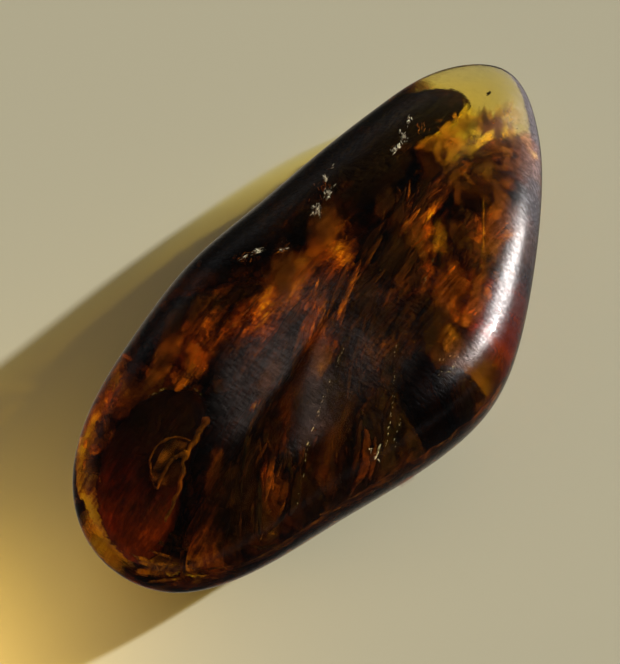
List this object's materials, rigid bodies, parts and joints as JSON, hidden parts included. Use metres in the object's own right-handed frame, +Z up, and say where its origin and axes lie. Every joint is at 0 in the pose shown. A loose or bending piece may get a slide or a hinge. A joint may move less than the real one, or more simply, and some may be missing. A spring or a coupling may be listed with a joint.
{
  "type": "amber piece",
  "caption": "Polished free-form amber pebble, clear at its thin tip, with dark bark and leaf debris sealed inside; lies on its flat underside.",
  "frame": {"origin": "middle of the footprint, on the surface that the flat underside rests on", "axes": "+X along the length to the thin clear tip, +Z up out of the polished top, +Y to the straighter flank"},
  "size_m": [0.0654, 0.0314, 0.0174],
  "materials": {
    "clear_resin": "polished clear fossil resin, golden, IOR 1.54",
    "dark_bark": "matt near-black fossil bark",
    "red_bark": "matt red-brown fossil bark",
    "leaf_litter": "matt fibrous brown plant debris with cracks",
    "pale_twig": "matt yellow-brown twig"
  },
  "bodies": {
    "root": {"amber_upper": "clear_resin", "amber_lower": "clear_resin", "bark_flake": "dark_bark", "bark_scale": "red_bark", "leaf_litter": "leaf_litter", "bark_chip": "dark_bark", "leaf_fold": "leaf_litter", "resin_clot": "dark_bark", "twig_fork": "pale_twig", "crumb_tip": "dark_bark", "crumb_pale": "dark_bark", "crumb_side": "dark_bark"}
  },
  "joints": []
}
